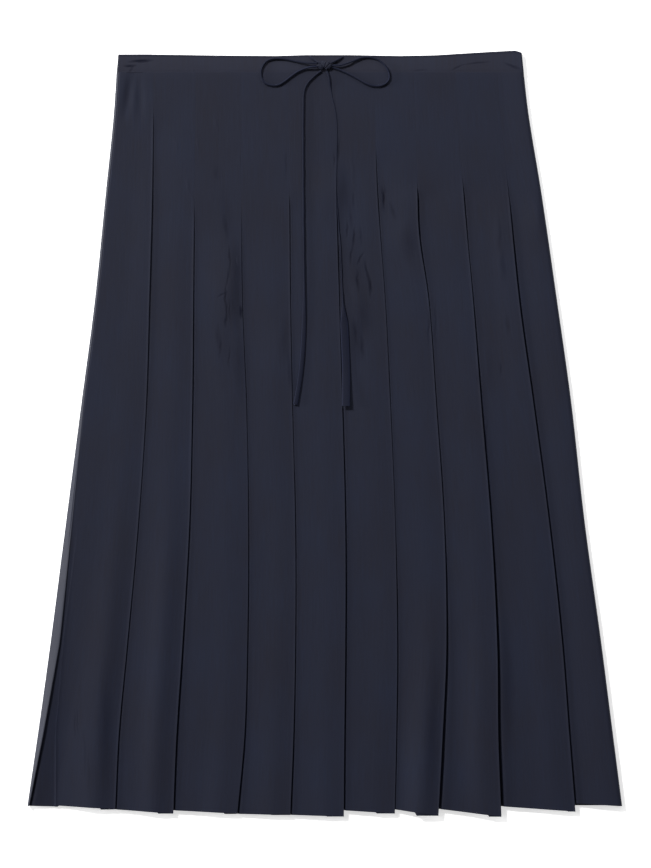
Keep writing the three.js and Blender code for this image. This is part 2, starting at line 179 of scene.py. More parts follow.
# Drawstring: a flat tube 7.5 mm wide, which rolls up on itself where it isn't laid flat
TAPE_WIDE = 7.5
TAPE_THICK = 1.0
ROLL_WIDE = 1.9
ROLL_THICK = 1.8
ROLL_LEAN = 0.45  # the share of a route's lean that is left once the tape is rolled up
ROLL_REST = 0.35  # how high the rolled tape rides over the front's cloth
OPEN_LEFT = (205, 70, 4.4)  # the length at which the end starts to open out, over what, and how wide
OPEN_RIGHT = (232, 24, 7.9)
ROLLED = (1000, 1, TAPE_WIDE)  # a stretch that never opens
PINCH = (8, 232)  # between these lengths the right end lies pinched in the pleat beside it
PINCH_SHARE = 0.45  # how much narrower it is there
PINCH_SINK = 0.9  # and how much deeper it lies
TAPE_SIDES = 16

# The knot's middle and size, and the grooves between the turns of tape that cross it: for each its slant,
# its place along the knot from -1 to 1, and its depth
KNOT = dict(x=-0.8, y=367.8, wide=16, high=9, thick=4.4)
KNOT_GROOVES = ((0.45, 0.5, 0.26), (0.2, 0.1, 0.2), (-0.25, -0.3, 0.24), (-0.5, -0.62, 0.16))
KNOT_GROOVE_WIDE = 0.085

# The string's routes, as in the part's source: x, y, lean in degrees from flat, and lift off the front
LOOP_LEFT = [
    (-8.6, 369.9, 78, 2.2), (-17, 370.4, 72, 2.2), (-26, 371.5, 68, 0.5), (-35, 373.3, 66, 0),
    (-44, 374.9, 68, 0), (-52, 374.8, 70, 0), (-58.7, 372.2, 70, 0), (-62.6, 367.2, 66, 0),
    (-64.3, 361, 58, 0), (-63.6, 355, 48, 0), (-60.2, 350.5, 40, 0), (-54.3, 348.2, 36, 0),
    (-47.3, 348.2, 40, 0), (-41.3, 351.5, 50, 0), (-34.3, 356.8, 58, 0), (-27.3, 361.6, 66, 0),
    (-20, 364.8, 74, 0.5), (-14, 366.2, 78, 2.2), (-8.6, 366.4, 78, 2.2),
]
LOOP_RIGHT = [
    (7.1, 365.8, 78, 0), (13, 364, 74, 0), (20, 361, 68, 0), (27, 357.5, 66, 0),
    (34, 353.5, 68, 0), (41, 349.7, 68, 0), (48, 347.5, 64, 0), (55, 347.5, 60, 0),
    (60.7, 350, 58, 0), (64, 354.5, 60, 0), (63.8, 360.5, 62, 0), (61.2, 366, 64, 0),
    (56.7, 371, 64, 0), (50.7, 374.7, 64, 0), (43.7, 376.2, 64, 0), (36.2, 375.6, 66, 0),
    (28.5, 372.6, 68, 0.5), (21.8, 369.9, 72, 1.6), (15, 368, 78, 1.6), (7.1, 367.6, 78, 1.6),
]
END_LEFT = [
    (-4, 362.4, 20, 0), (-8, 359.8, 40, 0), (-12.8, 355.5, 60, 0), (-17.3, 350.7, 60, 0),
    (-20.3, 345, 58, 0), (-21.7, 337.5, 55, 0), (-22, 323.5, 52, 0), (-22.1, 283.5, 52, 0),
    (-21.9, 243.5, 50, 0), (-21.7, 208.5, 40, 0), (-21.3, 173.5, 48, 0), (-21.1, 133.5, 50, 0),
    (-21.5, 103.5, 46, 0), (-23.3, 73.5, 40, 0.3), (-26.3, 48.5, 30, 0.5), (-29.8, 29, 20, 0.8),
]
END_RIGHT = [
    (1.6, 362.2, 30, 0), (3.2, 357.5, 55, 0), (5, 347.5, 70, 0), (7, 336.5, 72, 0),
    (9.9, 323.5, 68, 0), (11.5, 311.5, 60, 0), (11.4, 283.5, 54, 0), (11.4, 243.5, 48, 0),
    (13.2, 211.5, 42, 0), (15.5, 183.5, 36, 0), (17, 143.5, 28, 0), (19.2, 103.5, 14, 0),
    (20.7, 63.5, 4, 0.4), (20.6, 27.5, 0, 3.6),
]
LEAD_LEFT = [(-15.7, 377.2, 10, -1), (-12.8, 374.6, 20, 0.4), (-9, 371.6, 40, 1.2), (-5, 369.5, 50, 1.6)]
LEAD_RIGHT = [(17.9, 376.6, 10, -1), (13.2, 374, 20, 0.2), (7.6, 371.2, 40, 0.8), (3, 369.2, 50, 1.2)]


# Shared shapes


def ease(t):
    """A smooth step: 0 below 0, 1 above 1, and 3t² − 2t³ between."""
    t = np.clip(t, 0.0, 1.0)
    return t * t * (3 - 2 * t)


def bell(t):
    """A Gaussian: 1 at 0, and 1/e at 1 and at -1."""
    return np.exp(-(t**2))


def through(levels, values, drop):
    """A smooth curve through a table's values: between each two levels a cubic, whose slope at a level is
    the mean of the chords on its two sides."""
    levels = np.asarray(levels, float)
    values = np.asarray(values, float)
    chord = np.diff(values) / np.diff(levels)
    slope = np.concatenate([chord[:1], (chord[:-1] + chord[1:]) / 2, chord[-1:]])
    drop = np.clip(drop, levels[0], levels[-1])
    i = np.clip(np.searchsorted(levels, drop) - 1, 0, len(levels) - 2)
    span = levels[i + 1] - levels[i]
    t = (drop - levels[i]) / span
    a, b = values[i], values[i + 1]
    return (
        (2 * t**3 - 3 * t**2 + 1) * a
        + (t**3 - 2 * t**2 + t) * span * slope[i]
        + (3 * t**2 - 2 * t**3) * b
        + (t**3 - t**2) * span * slope[i + 1]
    )


def at(values, drop):
    """A smooth curve through values that are given at the named levels."""
    return through(LEVELS, values, drop)


def straight(values, drop):
    """A table's values joined by straight lines, for shares that may not overshoot."""
    return np.interp(drop, LEVELS, values)


def underlay(shown):
    """How deep a pleat lies under a panel that shows this much of its face: half of the cloth that is
    left over, within its limits."""
    return np.minimum(DEEPEST_SHARE * shown, np.maximum(LEAST_UNDERLAY, (PLEAT_CLOTH - shown) / 2))


def mesh_piece(name, points, faces, uv=None, sharp=50, around=None):
    """A new object from points in millimetres, quads by index, and a UV per point, also in millimetres.
    The mesh stores both in metres. around is the UV's length round a tube, for quads that close it."""
    mesh = bpy.data.meshes.new(name)
    mesh.from_pydata((points * MM).tolist(), [], faces.tolist())
    if uv is not None:
        corner = uv[faces]
        if around:
            u = corner[..., 0]
            closing = (np.ptp(u, axis=1) > around / 2)[:, None] & (u < around / 2)
            corner[..., 0] = u + around * closing
        layer = mesh.uv_layers.new(name="cloth")
        layer.data.foreach_set("uv", (corner * MM).ravel().astype(np.float32))
    mesh.polygons.foreach_set("use_smooth", np.ones(len(mesh.polygons), bool))
    mesh.set_sharp_from_angle(angle=math.radians(sharp))
    mesh.update()
    piece = bpy.data.objects.new(name, mesh)
    bpy.context.scene.collection.objects.link(piece)
    return piece


def quads(rows, columns, close=False):
    """The faces of a grid of points, row by row. close joins the last column to the first."""
    last = columns if close else columns - 1
    r, c = np.meshgrid(np.arange(rows - 1), np.arange(last), indexing="ij")
    n = (c + 1) % columns
    corners = [r * columns + c, (r + 1) * columns + c, (r + 1) * columns + n, r * columns + n]
    return np.stack(corners, -1).reshape(-1, 4)


def thicken(piece):
    """Makes a surface a cloth wall, half of its thickness on each side."""
    wall = piece.modifiers.new("wall", "SOLIDIFY")
    wall.thickness = CLOTH * MM
    wall.offset = 0
    wall.use_even_offset = False


def stand_for(piece, node):
    """Ties a piece to the body, and hides the part's node that it stands for."""
    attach(piece, "root")
    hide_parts(node)


# Materials

# How far the cloth's darker blotches lean to red, and its lighter ones to blue
WARM = (1.1, 1.0, 0.93)
COOL = (0.9, 1.0, 1.07)

# Thin creases: how far the noise bends them, across and along, the depth at which a crease's painted
# shade is darkest, the share of its colour that the cloth keeps there, and how much of the depth shows as
# relief
CREASE_SWAY = (5, 3)
DEEP_CREASE = 0.72
CREASE_PAINTED_SHADE = (0.02, 0.06, 0.3)
CREASE_RELIEF = 0.32

# The weave's pitch, and how long one period of a wave texture is at scale 1, in the UV's own units
THREAD_PITCH = 0.5
WAVE_PERIOD = 0.314

# The soft, silky shine's tint
SHEEN_TINT = (0.62, 0.68, 0.9, 1)


class Nodes:
    """Short names for making a material's nodes and joining them."""

    def __init__(self, name):
        self.material = bpy.data.materials.new(name)
        self.material.use_nodes = True
        self.tree = self.material.node_tree
        self.shader = self.tree.nodes["Principled BSDF"]

    def add(self, kind, inputs=(), **settings):
        """A new node with these settings, whose inputs are given values or other nodes' sockets."""
        node = self.tree.nodes.new(kind)
        for key, value in settings.items():
            setattr(node, key, value)
        for key, value in dict(inputs).items():
            self.put(node.inputs[key], value)
        return node

    def put(self, socket, value):
        if isinstance(value, bpy.types.NodeSocket):
            self.tree.links.new(value, socket)
        else:
            socket.default_value = value

    def math(self, operation, a, b=0.0):
        return self.add("ShaderNodeMath", {0: a, 1: b}, operation=operation).outputs[0]


def fine_creases(n, creases):
    """The depth of a piece's thin creases at a point, in millimetres. Each is a narrow ellipse on the
    piece's own x and y, deepest along its middle, and a slow noise bends them all. creases has a start,
    an end, a half width and a depth for each, places as an x and a drop. A negative depth is a ridge."""
    place = n.add("ShaderNodeTexCoord").outputs["Object"]
    noise = n.add("ShaderNodeTexNoise", {"Vector": place, "Scale": 80.0, "Detail": 2.0}).outputs["Color"]
    across, along = CREASE_SWAY
    sway = n.add("ShaderNodeVectorMath",
                 {0: noise, 1: (across * MM, along * MM, 0), 2: (-across / 2 * MM, -along / 2 * MM, 0)},
                 operation="MULTIPLY_ADD").outputs[0]
    bent = n.add("ShaderNodeVectorMath", {0: place, 1: sway}, operation="ADD").outputs[0]
    total = 0.0
    for (x0, drop0), (x1, drop1), half_wide, depth in creases:
        run, rise = x1 - x0, drop0 - drop1
        middle = ((x0 + x1) / 2 * MM, (WAIST_Y - (drop0 + drop1) / 2) * MM, 0)
        half_long = (math.hypot(run, rise) / 2 + half_wide) * MM
        oval = n.add("ShaderNodeMapping",
                     {"Vector": bent, "Location": middle, "Rotation": (0, 0, math.atan2(rise, run)),
                      "Scale": (half_long, half_wide * MM, 1)}, vector_type="TEXTURE")
        core = n.add("ShaderNodeTexGradient", {"Vector": oval.outputs[0]}, gradient_type="SPHERICAL")
        total = n.add("ShaderNodeMath", {0: core.outputs["Fac"], 1: depth, 2: total},
                      operation="MULTIPLY_ADD").outputs[0]
    return total


def woven(name, colour, light, dark, grain=1.0, creases=(), edge_highlight=0.0, shine=0.13):
    """Plain-woven silky cloth: a fine weave, long slubs along the grain, soft blotches of colour. light
    and dark are the blotches' shares of the colour, and grain scales the slubs' relief. The edge setting
    is a
    painted highlight: how much lighter a tape's two edges are painted, as where light catches them."""
    n = Nodes(name)
    uv = n.add("ShaderNodeUVMap", uv_map="cloth").outputs["UV"]

    def stretched(across, along, detail=2.0, rough=0.5):
        """Noise whose grains are this wide and this long."""
        scale = (1 / (across * MM), 1 / (along * MM), 1)
        place = n.add("ShaderNodeMapping", {"Vector": uv, "Scale": scale})
        noise = n.add("ShaderNodeTexNoise", {"Vector": place.outputs[0], "Scale": 1.0, "Detail": detail,
                                             "Roughness": rough})
        return noise.outputs["Fac"]

    def threads(direction):
        """The weave's threads in one direction, a little uneven."""
        scale = WAVE_PERIOD / (THREAD_PITCH * MM)
        return n.add("ShaderNodeTexWave", {"Vector": uv, "Scale": scale, "Distortion": 0.6, "Detail": 1.0,
                                           "Detail Scale": 2.0},
                     wave_type="BANDS", bands_direction=direction).outputs["Fac"]

    weave = n.math("ADD", threads("X"), threads("Y"))
    slub = stretched(1.6, 70, 3.0)
    crinkle = stretched(3.5, 26, 3.0, 0.6)
    blotch = stretched(60, 90, 2.0)
    streak = stretched(0.9, 30, 2.0)

    tone = n.math("ADD", n.math("MULTIPLY", blotch, 0.5), n.math("MULTIPLY", streak, 0.5))
    ramp = n.add("ShaderNodeValToRGB", {"Fac": tone})
    ramp.color_ramp.elements[0].position = 0.3
    ramp.color_ramp.elements[0].color = (*[c * dark * w for c, w in zip(colour, WARM)], 1)
    ramp.color_ramp.elements[1].position = 0.7
    ramp.color_ramp.elements[1].color = (*[c * light * w for c, w in zip(colour, COOL)], 1)
    shown = ramp.outputs["Color"]
    # painted highlight: lighter colour along the tape's two edges, standing in for light caught there
    if edge_highlight:
        across = n.add("ShaderNodeSeparateXYZ", {"Vector": uv}).outputs["X"]
        aside = n.math("PINGPONG", across, TAPE_WIDE / 2 * MM)
        highlight_share = n.add("ShaderNodeMapRange", {"Value": aside, "From Min": 1.3 * MM, "From Max": 2.3 * MM,
                                            "To Min": 1 + edge_highlight, "To Max": 1.0})
        shown = n.add("ShaderNodeVectorMath", {0: shown, 3: highlight_share.outputs["Result"]},
                      operation="SCALE").outputs[0]

    rough = n.add("ShaderNodeMapRange", {"Value": slub, "To Min": 0.6, "To Max": 0.72})
    n.put(n.shader.inputs["Roughness"], rough.outputs["Result"])
    n.shader.inputs["Specular IOR Level"].default_value = shine
    n.shader.inputs["Sheen Weight"].default_value = 0.5 * shine
    n.shader.inputs["Sheen Roughness"].default_value = 0.4
    n.shader.inputs["Sheen Tint"].default_value = SHEEN_TINT

    fine = n.add("ShaderNodeBump", {"Height": weave, "Strength": 0.5, "Distance": 0.03 * MM})
    ribs = n.add("ShaderNodeBump", {"Height": slub, "Strength": 0.6 * grain, "Distance": 0.12 * MM,
                                    "Normal": fine.outputs[0]})
    soft = n.add("ShaderNodeBump", {"Height": crinkle, "Strength": 0.4 * grain, "Distance": 0.2 * MM,
                                    "Normal": ribs.outputs[0]})
    surface = soft.outputs[0]
    # painted shade: each crease darkens and blues the cloth's colour as shade would, besides sinking it
    # by bump
    if creases:
        depth = fine_creases(n, creases)
        painted_shade = n.add("ShaderNodeValToRGB", {"Fac": depth})
        painted_shade.color_ramp.elements[0].color = (1, 1, 1, 1)
        painted_shade.color_ramp.elements[1].position = DEEP_CREASE
        painted_shade.color_ramp.elements[1].color = (*CREASE_PAINTED_SHADE, 1)
        shown = n.add("ShaderNodeVectorMath", {0: shown, 1: painted_shade.outputs["Color"]},
                      operation="MULTIPLY").outputs[0]
        sunk = n.math("MULTIPLY", depth, -CREASE_RELIEF)
        surface = n.add("ShaderNodeBump", {"Height": sunk, "Strength": 1.0, "Distance": MM,
                                           "Normal": surface}).outputs[0]
    n.put(n.shader.inputs["Base Color"], shown)
    n.put(n.shader.inputs["Normal"], surface)
    return n.material


# Thin creases with painted shade: start and end, each an x and a drop, then half width and depth. The
# back's are guessed.
FRONT_CREASES_PAINTED_SHADE = [
    # small marks below the waist and on the hip
    ((-110.7, 61), (-107, 76), 2.2, -0.45), ((-149.8, 85), (-148.8, 97), 2.4, -0.45),
    ((-127.3, 83), (-126.8, 94), 1.8, -0.3), ((-137.8, 124), (-137.4, 138), 2.4, -0.5),
    ((-137.0, 136), (-131.5, 146), 1.5, -0.3), ((-87, 99), (-85.5, 111), 1.8, -0.3),
    ((-39, 93), (-38.5, 127), 1.8, 0.3), ((-108, 113), (-107, 123), 4.5, 0.22),
    # the crinkles to the left of the third pleat
    ((-95.7, 190), (-95.3, 213), 1.7, 0.5), ((-95.3, 209), (-98.8, 235), 1.6, 0.45),
    ((-98.8, 232), (-99.4, 249), 1.9, 0.6), ((-99.4, 246), (-98.2, 260), 1.8, 0.6),
    ((-98.4, 256), (-99.4, 273), 1.9, 0.6), ((-108, 242), (-99.5, 238), 1.6, 0.5),
    ((-95.2, 243), (-95.8, 268), 1.4, 0.35), ((-84.2, 251), (-84, 263), 2.2, 0.9),
    ((-101, 160), (-97.5, 183), 3.2, 0.3), ((-104, 280), (-105, 304), 1.8, 0.4),
    ((-95.6, 290), (-96, 314), 1.6, 0.4), ((-88, 200), (-87, 212), 1.4, -0.35),
    ((-107, 268), (-106, 296), 2.4, 0.25),
    # between the fifth pleat and the sixth
    ((13.8, 82), (13.2, 108), 1.6, 0.5), ((8.6, 97), (9.6, 112), 1.5, 0.4),
    ((25, 88), (29.6, 139), 2.2, -0.4), ((28.3, 136), (28.2, 154), 1.8, 0.3),
    ((21.6, 166), (21.1, 184), 1.7, 0.5), ((29.5, 171), (28.3, 194), 1.9, 0.6),
    ((28.3, 191), (25, 210), 1.6, 0.5), ((38.4, 197), (32.6, 210), 1.6, 0.55),
    ((40, 206), (44, 223), 1.9, 0.6), ((43.6, 219), (45.8, 242), 2.5, 0.8),
    ((31.8, 215), (33.8, 238), 2.1, 0.55), ((24.5, 150), (26.5, 176), 2.6, 0.25),
    ((35, 170), (36.5, 192), 2.0, 0.3), ((28, 262), (31, 290), 2.6, 0.4),
    ((37, 280), (38, 304), 2.2, 0.35),
    # right of the sixth pleat, and left of the seventh
    ((56.5, 131), (60, 156), 2.2, 0.55), ((60, 130), (58, 153), 1.7, 0.4),
    ((66, 148), (70.5, 165), 2.6, 0.35), ((104, 248), (103, 292), 2.0, 0.4),
    ((110, 244), (111, 292), 1.7, 0.3),
    # far right, and low down at the left
    ((176.2, 306), (176.6, 320), 1.5, 0.35), ((153, 312), (153.5, 332), 2.6, 0.25),
    ((162, 362), (160, 402), 2.0, 0.35), ((-250.6, 654), (-250.2, 683), 1.2, 0.34),
    ((-247.8, 652), (-247.4, 681), 1.2, 0.3), ((-241, 672), (-239, 722), 1.8, 0.18),
    ((-236.5, 690), (-235, 746), 1.8, 0.2),
    # wide shallow patches of painted shade, darker than the cloth round them
    ((-90, 190), (-88, 238), 9, 0.3), ((-92, 230), (-90, 270), 9, 0.26),
    ((-88, 262), (-86, 345), 7, 0.2), ((-101, 135), (-97, 185), 8, 0.16),
    ((-100, 262), (-101, 330), 10, 0.16), ((17, 112), (18, 160), 8, 0.26),
    ((34, 205), (36, 245), 9, 0.14), ((14.5, 176), (17.5, 252), 3.2, 0.4),
    ((37, 238), (38, 275), 10, 0.28), ((32, 272), (34, 304), 9, 0.26),
    ((28, 180), (30, 225), 9, 0.12), ((83, 172), (85, 202), 9, 0.2),
    ((-39, 262), (-42, 308), 7, 0.2), ((-21, 296), (-28.5, 346), 3.6, 0.4),
    ((-37, 294), (-31.5, 346), 3.2, 0.32), ((174.2, 163), (175.2, 198), 3, 0.24),
    ((177, 195), (178.6, 225), 4.2, 0.26), ((182.6, 262), (183.6, 280), 3.4, 0.22),
    ((-198, 15), (-202, 62), 5, 0.22), ((-186, 22), (-185, 68), 4.5, 0.24),
    ((58, 130), (60, 158), 5, 0.2), ((-219, 600), (-219.5, 745), 9, 0.26),
    ((111, 590), (106, 752), 10, 0.3), ((181, 560), (184, 700), 9, 0.22),
]
BACK_CREASES_PAINTED_SHADE = [
    ((-160, 300), (-158, 352), 2.2, 0.5), ((-96, 420), (-99, 470), 2.0, 0.5),
    ((-40, 180), (-37, 221), 2.4, 0.6), ((18, 520), (20, 588), 2.0, 0.4),
    ((74, 240), (71, 292), 2.2, 0.5), ((131, 430), (134, 474), 1.8, 0.5),
    ((190, 330), (196, 398), 2.4, 0.5),
]
CASING_CREASES_PAINTED_SHADE = [
    ((-196, 7.2), (-172, 5.4), 2.2, 1.1), ((-201, 11), (-190, 11.4), 1.8, 0.8),
    ((-192.5, 12), (-195.5, 17), 1.8, 0.4), ((126, 15.4), (138.5, 9.6), 1.5, 0.45),
    ((137, 9.9), (167, 6.5), 1.5, 0.45), ((178, 7.6), (197, 15), 1.9, 0.5),
    ((87, 16), (104, 15.4), 1.4, 0.3), ((-132, 13), (-131.6, 20), 1.3, -0.3),
    ((-110, 16.2), (-94, 16.6), 1.2, -0.3),
]

NAVY = (0.0096, 0.0111, 0.0217)
# painted light: the casing is the front's cloth, made lighter because its rolled band catches more light
CASING_NAVY_PAINTED_LIGHT = (0.0125, 0.0134, 0.0232)
# painted shade: the string is the same cloth, made darker for the shade on and under its rolled loops
STRING_NAVY_PAINTED_SHADE = (0.0052, 0.0066, 0.0160)


def tinted(colour, share):
    """A lighter or darker shade: each channel times the share."""
    return tuple(c * share for c in colour)


front_look = woven("navy cloth", NAVY, 1.12, 0.88, creases=FRONT_CREASES_PAINTED_SHADE)
# painted light: the back is the same cloth, made a fifth lighter so that its lapped strip shows bright
back_look = woven("navy cloth of the back", tinted(NAVY, 1.2), 1.12, 0.88, creases=BACK_CREASES_PAINTED_SHADE, shine=0.4)
# painted light: the casing's colour is lightened once more
casing_look = woven("navy casing cloth", tinted(CASING_NAVY_PAINTED_LIGHT, 1.12), 1.12, 0.88, creases=CASING_CREASES_PAINTED_SHADE)
string_look = woven("navy string cloth", STRING_NAVY_PAINTED_SHADE, 1.1, 0.85, 0.6, edge_highlight=0.6, shine=0.11)
# painted shade: the knot is the same cloth, a little darker
knot_look = woven("navy knot cloth", tinted(NAVY, 0.85), 1.2, 0.8, 0.6, shine=0.12)


# Camera, light and floor

# Lamps, in metres and watts: each is a disk of this size that is turned to its aim
LAMPS = {
    "key": dict(place=(-3.0, 3.2, 4.0), aim=(0, 0, 0), size=1.1, power=445),
    "rim": dict(place=(-5.8, 0.5, 1.3), aim=(0, 0, 0), size=1.2, power=235),
    "fill": dict(place=(0.5, 1.7, 1.0), aim=(0, 0.1, 0), size=0.9, power=9),
}
ROOM_LIGHT = 0.22
FLOOR_HALF = 3000
FLOOR_GLOW = 0.55


def set_camera():
    """Straight above the skirt. The lens is such that one pixel is one millimetre at the top ply."""
    data = bpy.data.cameras.new("camera")
    data.sensor_fit = "VERTICAL"
    data.sensor_height = SENSOR_HIGH
    data.lens = SENSOR_HIGH * (CAMERA_HEIGHT - TOP_PLY) / PICTURE_HIGH
    data.clip_start = 0.1
    data.clip_end = 20
    camera = bpy.data.objects.new("camera", data)
    across = PICTURE_WIDE / 2 - ORIGIN_ACROSS
    up = ORIGIN_DOWN - PICTURE_HIGH / 2
    camera.location = (across * MM, up * MM, CAMERA_HEIGHT * MM)
    bpy.context.scene.collection.objects.link(camera)
    bpy.context.scene.camera = camera


def area_light(name, place, aim, size, power):
    """A round lamp, tipped by the angle between the way to its aim and straight down, then turned."""
    data = bpy.data.lights.new(name, "AREA")
    data.shape = "DISK"
    data.size = size
    data.energy = power
    lamp = bpy.data.objects.new(name, data)
    lamp.location = place
    way = np.array(aim) - np.array(place)
    pitch = math.atan2(math.hypot(way[0], way[1]), -way[2])
    lamp.rotation_euler = (pitch, 0, math.atan2(-way[0], way[1]))
    bpy.context.scene.collection.objects.link(lamp)


def set_light():
    """A soft studio light from the upper left, in a dim white room."""
    world = bpy.data.worlds.new("studio")
    world.use_nodes = True
    background = world.node_tree.nodes["Background"]
    background.inputs["Color"].default_value = (1, 1, 1, 1)
    background.inputs["Strength"].default_value = ROOM_LIGHT
    bpy.context.scene.world = world
    for name, lamp in LAMPS.items():
        area_light(name, **lamp)
    bpy.context.scene.view_settings.view_transform = "Standard"


def lay_floor():
    """A plain pale floor with a faint unevenness of tone, just under the skirt. It glows a little, as a
    lit product table does, so that the skirt's shadows on it are faint."""
    half = FLOOR_HALF
    points = np.array([[-half, -half, 0], [half, -half, 0], [half, half, 0], [-half, half, 0]], float)
    floor = mesh_piece("floor", points, np.array([[0, 1, 2, 3]]))
    n = Nodes("pale floor")
    place = n.add("ShaderNodeTexCoord").outputs["Object"]
    noise = n.add("ShaderNodeTexNoise", {"Vector": place, "Scale": 3.0, "Detail": 3.0})
    tone = n.add("ShaderNodeMapRange", {"Value": noise.outputs["Fac"], "To Min": 0.9, "To Max": 0.93})
    n.put(n.shader.inputs["Base Color"], tone.outputs["Result"])
    n.shader.inputs["Roughness"].default_value = 0.9
    n.shader.inputs["Specular IOR Level"].default_value = 0.1
    n.shader.inputs["Emission Color"].default_value = (1, 1, 1, 1)
    n.shader.inputs["Emission Strength"].default_value = FLOOR_GLOW
    floor.data.materials.append(n.material)


set_camera()
set_light()
lay_floor()


# Drawstring


def smooth_route(route, step):
    """Points about a step apart on a smooth curve through a route's, worked out along the route's own
    length, with the lean and the lift carried along."""
    rows = np.array(route, float)
    run = np.concatenate([[0], np.cumsum(np.hypot(*np.diff(rows[:, :2], axis=0).T))])
    along = np.linspace(0, run[-1], max(8, int(run[-1] / step)))
    x, y, lean, lift = (through(run, rows[:, k], along) for k in range(4))
    return x, y, np.radians(lean), lift, along


def tape_surface(route, step, opens):
    """A soft cloth tube carried along a route. Its section is a superellipse with flattened faces, rolled
    up narrow and leaning, and two slow sines make its width a little uneven. opens is where it starts to
    open out flat, over what length, and how wide. The right end is pinched before that."""
    x, y, lean, lift, along = smooth_route(route, step)
    start, run, broad = opens
    flat = ease((along - start) / run)
    pinched = opens == OPEN_RIGHT
    held = pinched * ease((along - PINCH[0]) / 14) * ease((PINCH[1] - along) / 20)
    ripple = 1 + 0.08 * np.sin(along / 5.3) + 0.06 * np.sin(along / 2.9 + 1)
    wide = ROLL_WIDE * ripple * (1 - flat) * (1 - PINCH_SHARE * held) + broad * flat
    thick = ROLL_THICK * (1 - flat) * (1 - PINCH_SHARE * held) + TAPE_THICK * flat
    lean = ROLL_LEAN * lean * (1 - flat)
    z = TOP_PLY + CLOTH / 2 + ROLL_REST + lift - PINCH_SINK * held
    z = z + wide / 2 * np.sin(lean) + thick / 2 * np.cos(lean)
    centre = np.stack([x, y, z], -1)
    way = np.gradient(centre[:, :2], axis=0)
    way /= np.linalg.norm(way, axis=1)[:, None]
    across = np.stack([-way[:, 1], way[:, 0], 0 * x], -1)
    upward = np.array([0, 0, 1.0])
    side = across * np.cos(lean)[:, None] + upward * np.sin(lean)[:, None]
    up = -across * np.sin(lean)[:, None] + upward * np.cos(lean)[:, None]
    turn = np.arange(TAPE_SIDES) / TAPE_SIDES * 2 * np.pi
    u = np.sign(np.cos(turn)) * np.abs(np.cos(turn)) ** 0.8 / 2
    v = np.sign(np.sin(turn)) * np.abs(np.sin(turn)) ** 0.9 / 2
    points = (
        centre[:, None]
        + side[:, None] * (u * wide[:, None])[..., None]
        + up[:, None] * (v * thick[:, None])[..., None]
    )
    shape = (len(x), TAPE_SIDES)
    round_it = np.broadcast_to(turn * TAPE_WIDE / np.pi, shape)
    uv = np.stack([round_it, np.broadcast_to(along[:, None], shape)], -1)
    grid = quads(len(x), TAPE_SIDES, close=True)[:, ::-1]
    return points.reshape(-1, 3), grid, uv.reshape(-1, 2), centre


def cap_ends(points, faces, uv, rows):
    """Closes a tape's two ends with a fan of quads round a middle point."""
    sides = TAPE_SIDES
    count = len(points)
    points = np.vstack([points, points[:sides].mean(0), points[-sides:].mean(0)])
    uv = np.vstack([uv, uv[:sides].mean(0), uv[-sides:].mean(0)])
    k = np.arange(0, sides, 2)
    first = np.stack([np.full_like(k, count), k, (k + 1) % sides, (k + 2) % sides], -1)
    base = (rows - 1) * sides
    turned = (base + (k + 2) % sides, base + (k + 1) % sides, base + k)
    last = np.stack([np.full_like(k, count + 1), *turned], -1)
    return points, np.vstack([faces, first[:, ::-1], last[:, ::-1]]), uv


def tape_piece(name, route, step=2.0, opens=ROLLED):
    """A stretch of the string as a closed tube, and the line through its middle."""
    points, faces, uv, centre = tape_surface(route, step, opens)
    points, faces, uv = cap_ends(points, faces, uv, len(centre))
    piece = mesh_piece(name, points, faces, uv, sharp=70, around=2 * TAPE_WIDE)
    piece.data.materials.append(string_look)
    return piece, centre


def knot_surface():
    """The knot's body: an ellipsoid lying across. A Gaussian groove between each two turns of tape runs
    slantwise round it, and a product of two sines puckers it."""
    rows, columns = 60, 72
    polar = np.linspace(0.02, np.pi - 0.02, rows)[:, None]
    turn = (np.arange(columns) / columns * 2 * np.pi)[None, :]
    nx, ny, nz = np.cos(polar), np.sin(polar) * np.cos(turn), np.sin(polar) * np.sin(turn)
    swell = 1 + 0 * nx * ny
    for slant, place, deep in KNOT_GROOVES:
        swell = swell - deep * bell((nx - slant * ny - place) / KNOT_GROOVE_WIDE)
    swell = swell + 0.07 * np.sin(13 * nx + 5 * ny) * np.sin(8 * ny - 3 * nx)
    x = KNOT["x"] + KNOT["wide"] / 2 * nx * (0.85 + 0.15 * swell)
    y = KNOT["y"] + KNOT["high"] / 2 * ny * swell
    z = TOP_PLY + 0.3 + KNOT["thick"] / 2 * (1 + nz * swell)
    points = np.stack([np.broadcast_to(x, z.shape), y, z], -1).reshape(-1, 3)
    uv = np.stack([x + 0 * z, turn * 5 + 0 * x], -1).reshape(-1, 2)
    return points, quads(rows, columns, close=True), uv


def make_string():
    """The knot, the two leads to the buttonholes, the two loops and the two ends, each a piece that
    stands for its own node."""
    points, faces, uv = knot_surface()
    knot = mesh_piece("bow_knot", points, faces, uv, sharp=80)
    knot.data.materials.append(knot_look)
    stand_for(knot, "string_knot")
    for side, route in (("left", LEAD_LEFT), ("right", LEAD_RIGHT)):
        lead, _ = tape_piece("bow_lead_" + side, route, step=1.2)
        stand_for(lead, "string_lead_" + side)
    for name, route, node, opens, wide, far_end in (
        ("bow_loop_left", LOOP_LEFT, "string_loop_left", ROLLED, ROLL_WIDE, "object"),
        ("bow_loop_right", LOOP_RIGHT, "string_loop_right", ROLLED, ROLL_WIDE, "object"),
        ("tie_end_left", END_LEFT, "string_end_left", OPEN_LEFT, OPEN_LEFT[2], "bare"),
        ("tie_end_right", END_RIGHT, "string_end_right", OPEN_RIGHT, OPEN_RIGHT[2], "bare"),
    ):
        piece, centre = tape_piece(name, route, opens=opens)
        stand_for(piece, node)


make_string()


# Creases


